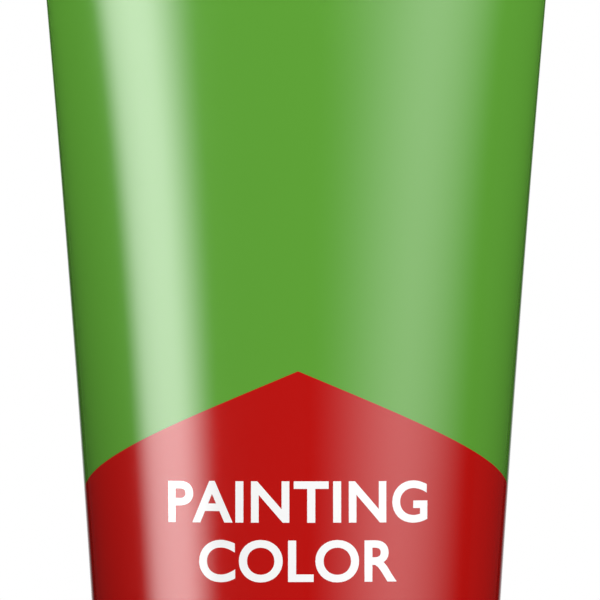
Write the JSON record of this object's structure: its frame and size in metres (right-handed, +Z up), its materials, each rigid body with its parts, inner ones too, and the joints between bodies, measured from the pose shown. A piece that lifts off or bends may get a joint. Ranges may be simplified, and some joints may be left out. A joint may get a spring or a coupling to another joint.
{
  "type": "paint tube",
  "caption": "Squeezable laminate tube of gouache paint, round at the shoulder and flat at the heat seal, standing on a ribbed screw cap.",
  "frame": {"origin": "centre of the cap's flat end face, which the tube stands on", "axes": "+Z up along the tube's axis from the cap to the seal; the front of the print faces -Y and the seal runs along X"},
  "size_m": [0.0544, 0.035, 0.177],
  "materials": {
    "cap_plastic": "white moulded polypropylene, satin, with grip ribs",
    "liner_foam": "white foamed polyethylene wad",
    "foil": "bright aluminium foil",
    "head_plastic": "white moulded polyethylene",
    "rondel_laminate": "grey barrier laminate",
    "gouache": "thick wet paint",
    "printed_laminate": null
  },
  "bodies": {
    "cap": {"cap": "cap_plastic"},
    "liner": {"cap_liner": "liner_foam"},
    "tube": {"tube_sleeve": "printed_laminate", "shoulder_head": "head_plastic", "barrier_rondel": "rondel_laminate", "foil_seal": "foil", "paint": "gouache"}
  },
  "joints": [
    {"name": "tube_turn", "type": "hinge", "parent": "cap", "child": "liner", "pos_m": [0, 0, 0.0029], "axis": [0, 0, 1], "range_deg": [0, 1800]},
    {"name": "tube_lift", "type": "slide", "parent": "liner", "child": "tube", "axis": [0, 0, 1], "range_m": [0, 0.015]}
  ],
  "couplings": [
    {"joint": "tube_turn", "follows": "tube_lift", "rad_per_m": 2094.4}
  ]
}
